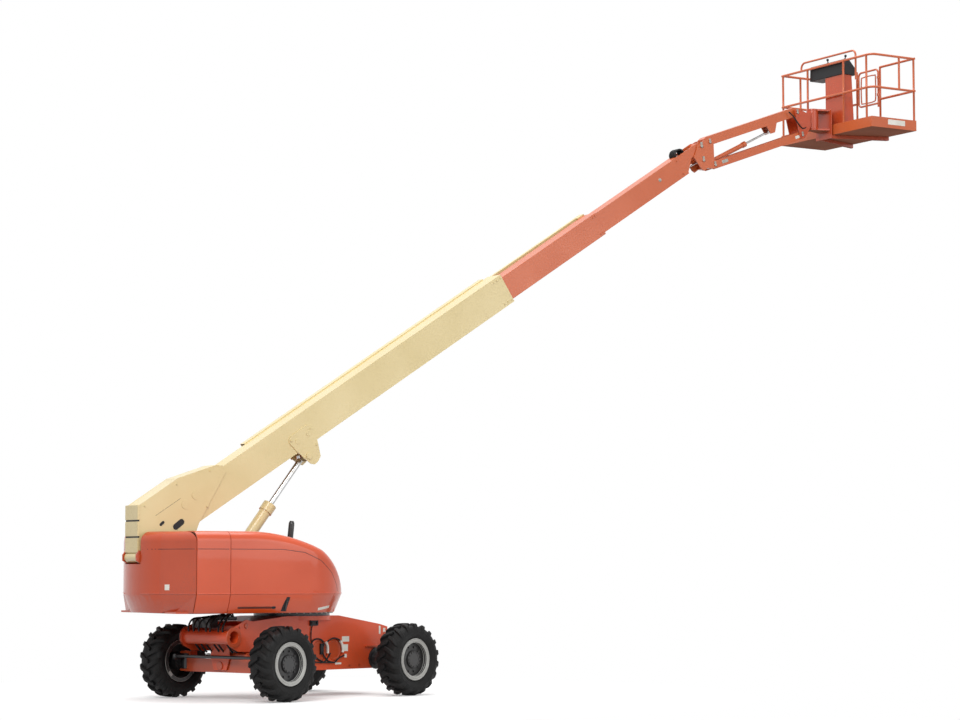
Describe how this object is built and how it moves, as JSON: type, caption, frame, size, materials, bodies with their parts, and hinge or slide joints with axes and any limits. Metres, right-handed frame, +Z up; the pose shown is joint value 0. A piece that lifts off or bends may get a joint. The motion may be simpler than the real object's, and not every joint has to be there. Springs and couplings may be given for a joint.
{
  "type": "telescopic boom lift",
  "caption": "Self-propelled aerial work platform: a turntable on a wheeled chassis carries a telescopic boom, a jib and a railed work platform.",
  "frame": {"origin": "point on the ground plane under the swing axis", "axes": "+Z up; +X along the boom's heading, towards the platform; +Y to the left of the heading. The chassis is turned 18.3 degrees about +Z from the heading, as in the picture"},
  "size_m": [12.941, 3.4116, 9.9907],
  "materials": {
    "orange_paint": "gloss",
    "orange_shell": "gloss",
    "cream_paint": "gloss",
    "black_paint": "satin",
    "silver_paint": "satin",
    "chrome_rod": "polished",
    "tyre_rubber": "matt",
    "cast_weight": "gloss paint",
    "engine_casting": "dull",
    "tank_plastic": "matt",
    "console_plastic": "matt"
  },
  "bodies": {
    "chassis": {"chassis_frame": "orange_paint", "swing_bearing": "black_paint", "rear_axle": "black_paint", "steer_axle": "orange_paint"},
    "steer_rod": {"steer_rod": "chrome_rod"},
    "tie_rod": {"tie_rod": "black_paint"},
    "knuckle_right": {"knuckle_right": "black_paint"},
    "knuckle_left": {"knuckle_left": "black_paint"},
    "wheel_front_right": {"tyre_front_right": "tyre_rubber", "rim_front_right": "silver_paint"},
    "wheel_front_left": {"tyre_front_left": "tyre_rubber", "rim_front_left": "silver_paint"},
    "wheel_rear_right": {"tyre_rear_right": "tyre_rubber", "rim_rear_right": "silver_paint"},
    "wheel_rear_left": {"tyre_rear_left": "tyre_rubber", "rim_rear_left": "silver_paint"},
    "turntable": {"turntable_base": "orange_paint", "side_panels": "orange_shell", "counterweight": "cast_weight", "engine_block": "engine_casting", "tank_block": "tank_plastic", "exhaust_pipe": "black_paint"},
    "hood_right": {"hood_right": "orange_shell"},
    "hood_left": {"hood_left": "orange_shell"},
    "base_boom": {"base_boom": "cream_paint"},
    "lift_rod": {"lift_rod": "chrome_rod"},
    "lift_barrel": {"lift_barrel": "cream_paint"},
    "mid_boom": {"mid_boom": "orange_paint", "push_tube": "cream_paint"},
    "fly_boom": {"fly_boom": "orange_paint"},
    "level_rod": {"level_rod": "chrome_rod"},
    "jib_bracket": {"jib_bracket": "orange_paint"},
    "jib_upper_arm": {"jib_upper_arm": "orange_paint"},
    "jib_lower_arm": {"jib_lower_arm": "orange_paint"},
    "jib_barrel": {"jib_barrel": "black_paint"},
    "jib_rod": {"jib_rod": "chrome_rod"},
    "jib_end_link": {"jib_end_link": "orange_paint"},
    "platform": {"platform_support": "orange_paint", "platform_tray": "orange_paint", "rails_near": "orange_paint", "rails_far": "orange_paint", "rails_ends": "orange_paint", "console": "console_plastic", "console_cabinet": "orange_paint"},
    "gate": {"gate": "orange_paint"}
  },
  "joints": [
    {"name": "steer_right", "type": "hinge", "parent": "chassis", "child": "knuckle_right", "pos_m": [-0.92609, -1.14889, 0.505], "axis": [0, 0, 1], "range_deg": [-32, 32]},
    {"name": "steer_left", "type": "hinge", "parent": "chassis", "child": "knuckle_left", "pos_m": [-1.42848, 0.37019, 0.505], "axis": [0, 0, 1], "range_deg": [-32, 32]},
    {"name": "tie_rod_turn", "type": "hinge", "parent": "knuckle_left", "child": "tie_rod", "pos_m": [-1.63735, 0.30111, 0.58], "axis": [0, 0, 1], "range_deg": [-32, 32]},
    {"name": "steer_rod_slide", "type": "slide", "parent": "chassis", "child": "steer_rod", "axis": [-0.314, 0.9494, 0], "range_m": [-0.117, 0.117]},
    {"name": "wheel_front_right_spin", "type": "hinge", "parent": "knuckle_right", "child": "wheel_front_right", "pos_m": [-0.84524, -1.39337, 0.505], "axis": [-0.314, 0.9494, 0], "continuous": true},
    {"name": "wheel_front_left_spin", "type": "hinge", "parent": "knuckle_left", "child": "wheel_front_left", "pos_m": [-1.50934, 0.61467, 0.505], "axis": [-0.314, 0.9494, 0], "continuous": true},
    {"name": "wheel_rear_right_spin", "type": "hinge", "parent": "chassis", "child": "wheel_rear_right", "pos_m": [1.50934, -0.61467, 0.505], "axis": [-0.314, 0.9494, 0], "continuous": true},
    {"name": "wheel_rear_left_spin", "type": "hinge", "parent": "chassis", "child": "wheel_rear_left", "pos_m": [0.84524, 1.39337, 0.505], "axis": [-0.314, 0.9494, 0], "continuous": true},
    {"name": "swing", "type": "hinge", "parent": "chassis", "child": "turntable", "pos_m": [0, 0, 1.172], "axis": [0, 0, 1], "continuous": true},
    {"name": "hood_right_lift", "type": "hinge", "parent": "turntable", "child": "hood_right", "pos_m": [-1, -0.3453, 2.27], "axis": [-1, 0, 0], "range_deg": [0, 60]},
    {"name": "hood_left_lift", "type": "hinge", "parent": "turntable", "child": "hood_left", "pos_m": [-1, 0.3453, 2.27], "axis": [1, 0, 0], "range_deg": [0, 60]},
    {"name": "lift", "type": "hinge", "parent": "turntable", "child": "base_boom", "pos_m": [-2.38, 0, 1.92], "axis": [0, -1, 0], "range_deg": [-33, 39]},
    {"name": "lift_rod_turn", "type": "hinge", "parent": "base_boom", "child": "lift_rod", "pos_m": [0.16066, 0, 3.34337], "axis": [0, -1, 0], "range_deg": [-6.4, 7.5]},
    {"name": "lift_barrel_slide", "type": "slide", "parent": "lift_rod", "child": "lift_barrel", "axis": [-0.5975, 0, -0.8019], "range_m": [-0.65, 0.77]},
    {"name": "mid_slide", "type": "slide", "parent": "base_boom", "child": "mid_boom", "axis": [0.8387, 0, 0.5446], "range_m": [-1.84, 2.99]},
    {"name": "fly_slide", "type": "slide", "parent": "mid_boom", "child": "fly_boom", "axis": [0.8387, 0, 0.5446], "range_m": [-1.75, 2.85]},
    {"name": "level_rod_slide", "type": "slide", "parent": "fly_boom", "child": "level_rod", "axis": [0.8753, 0, 0.4835], "range_m": [-0.135, 0.115]},
    {"name": "bracket_level", "type": "hinge", "parent": "fly_boom", "child": "jib_bracket", "pos_m": [7.00564, 0, 8.29769], "axis": [0, -1, 0], "range_deg": [-39, 33]},
    {"name": "jib_lift", "type": "hinge", "parent": "jib_bracket", "child": "jib_upper_arm", "pos_m": [7.16864, 0, 8.3757], "axis": [0, -1, 0], "range_deg": [-79.7, 50.3]},
    {"name": "jib_lower_turn", "type": "hinge", "parent": "jib_bracket", "child": "jib_lower_arm", "pos_m": [7.26764, 0, 8.0257], "axis": [0, -1, 0], "range_deg": [-79.7, 50.3]},
    {"name": "end_link_level", "type": "hinge", "parent": "jib_upper_arm", "child": "jib_end_link", "pos_m": [8.89153, 0, 8.99258], "axis": [0, -1, 0], "range_deg": [-50.3, 79.7]},
    {"name": "jib_barrel_turn", "type": "hinge", "parent": "jib_bracket", "child": "jib_barrel", "pos_m": [7.19964, 0, 8.0547], "axis": [0, -1, 0], "range_deg": [-78, 49.2]},
    {"name": "jib_rod_slide", "type": "slide", "parent": "jib_barrel", "child": "jib_rod", "axis": [0.8936, 0, 0.449], "range_m": [-0.37, 0.234]},
    {"name": "platform_swing", "type": "hinge", "parent": "jib_end_link", "child": "platform", "pos_m": [9.3, 0, 8.9], "axis": [0, 0, 1], "range_deg": [-90, 90]},
    {"name": "gate_swing", "type": "hinge", "parent": "platform", "child": "gate", "pos_m": [10.451, -0.259, 9.5], "axis": [0, 0, 1], "range_deg": [0, 90]}
  ],
  "couplings": [
    {"joint": "steer_left", "follows": "steer_right", "ratio": 1},
    {"joint": "tie_rod_turn", "follows": "steer_right", "ratio": -1},
    {"joint": "steer_rod_slide", "follows": "steer_right", "m_per_rad": -0.209},
    {"joint": "lift_rod_turn", "follows": "lift", "ratio": 0.19},
    {"joint": "lift_barrel_slide", "follows": "lift", "m_per_rad": 1.12},
    {"joint": "fly_slide", "follows": "mid_slide", "ratio": 0.95},
    {"joint": "level_rod_slide", "follows": "lift", "m_per_rad": -0.193},
    {"joint": "bracket_level", "follows": "lift", "ratio": -1},
    {"joint": "jib_lower_turn", "follows": "jib_lift", "ratio": 1},
    {"joint": "end_link_level", "follows": "jib_lift", "ratio": -1},
    {"joint": "jib_barrel_turn", "follows": "jib_lift", "ratio": 0.975},
    {"joint": "jib_rod_slide", "follows": "jib_lift", "m_per_rad": 0.265}
  ]
}
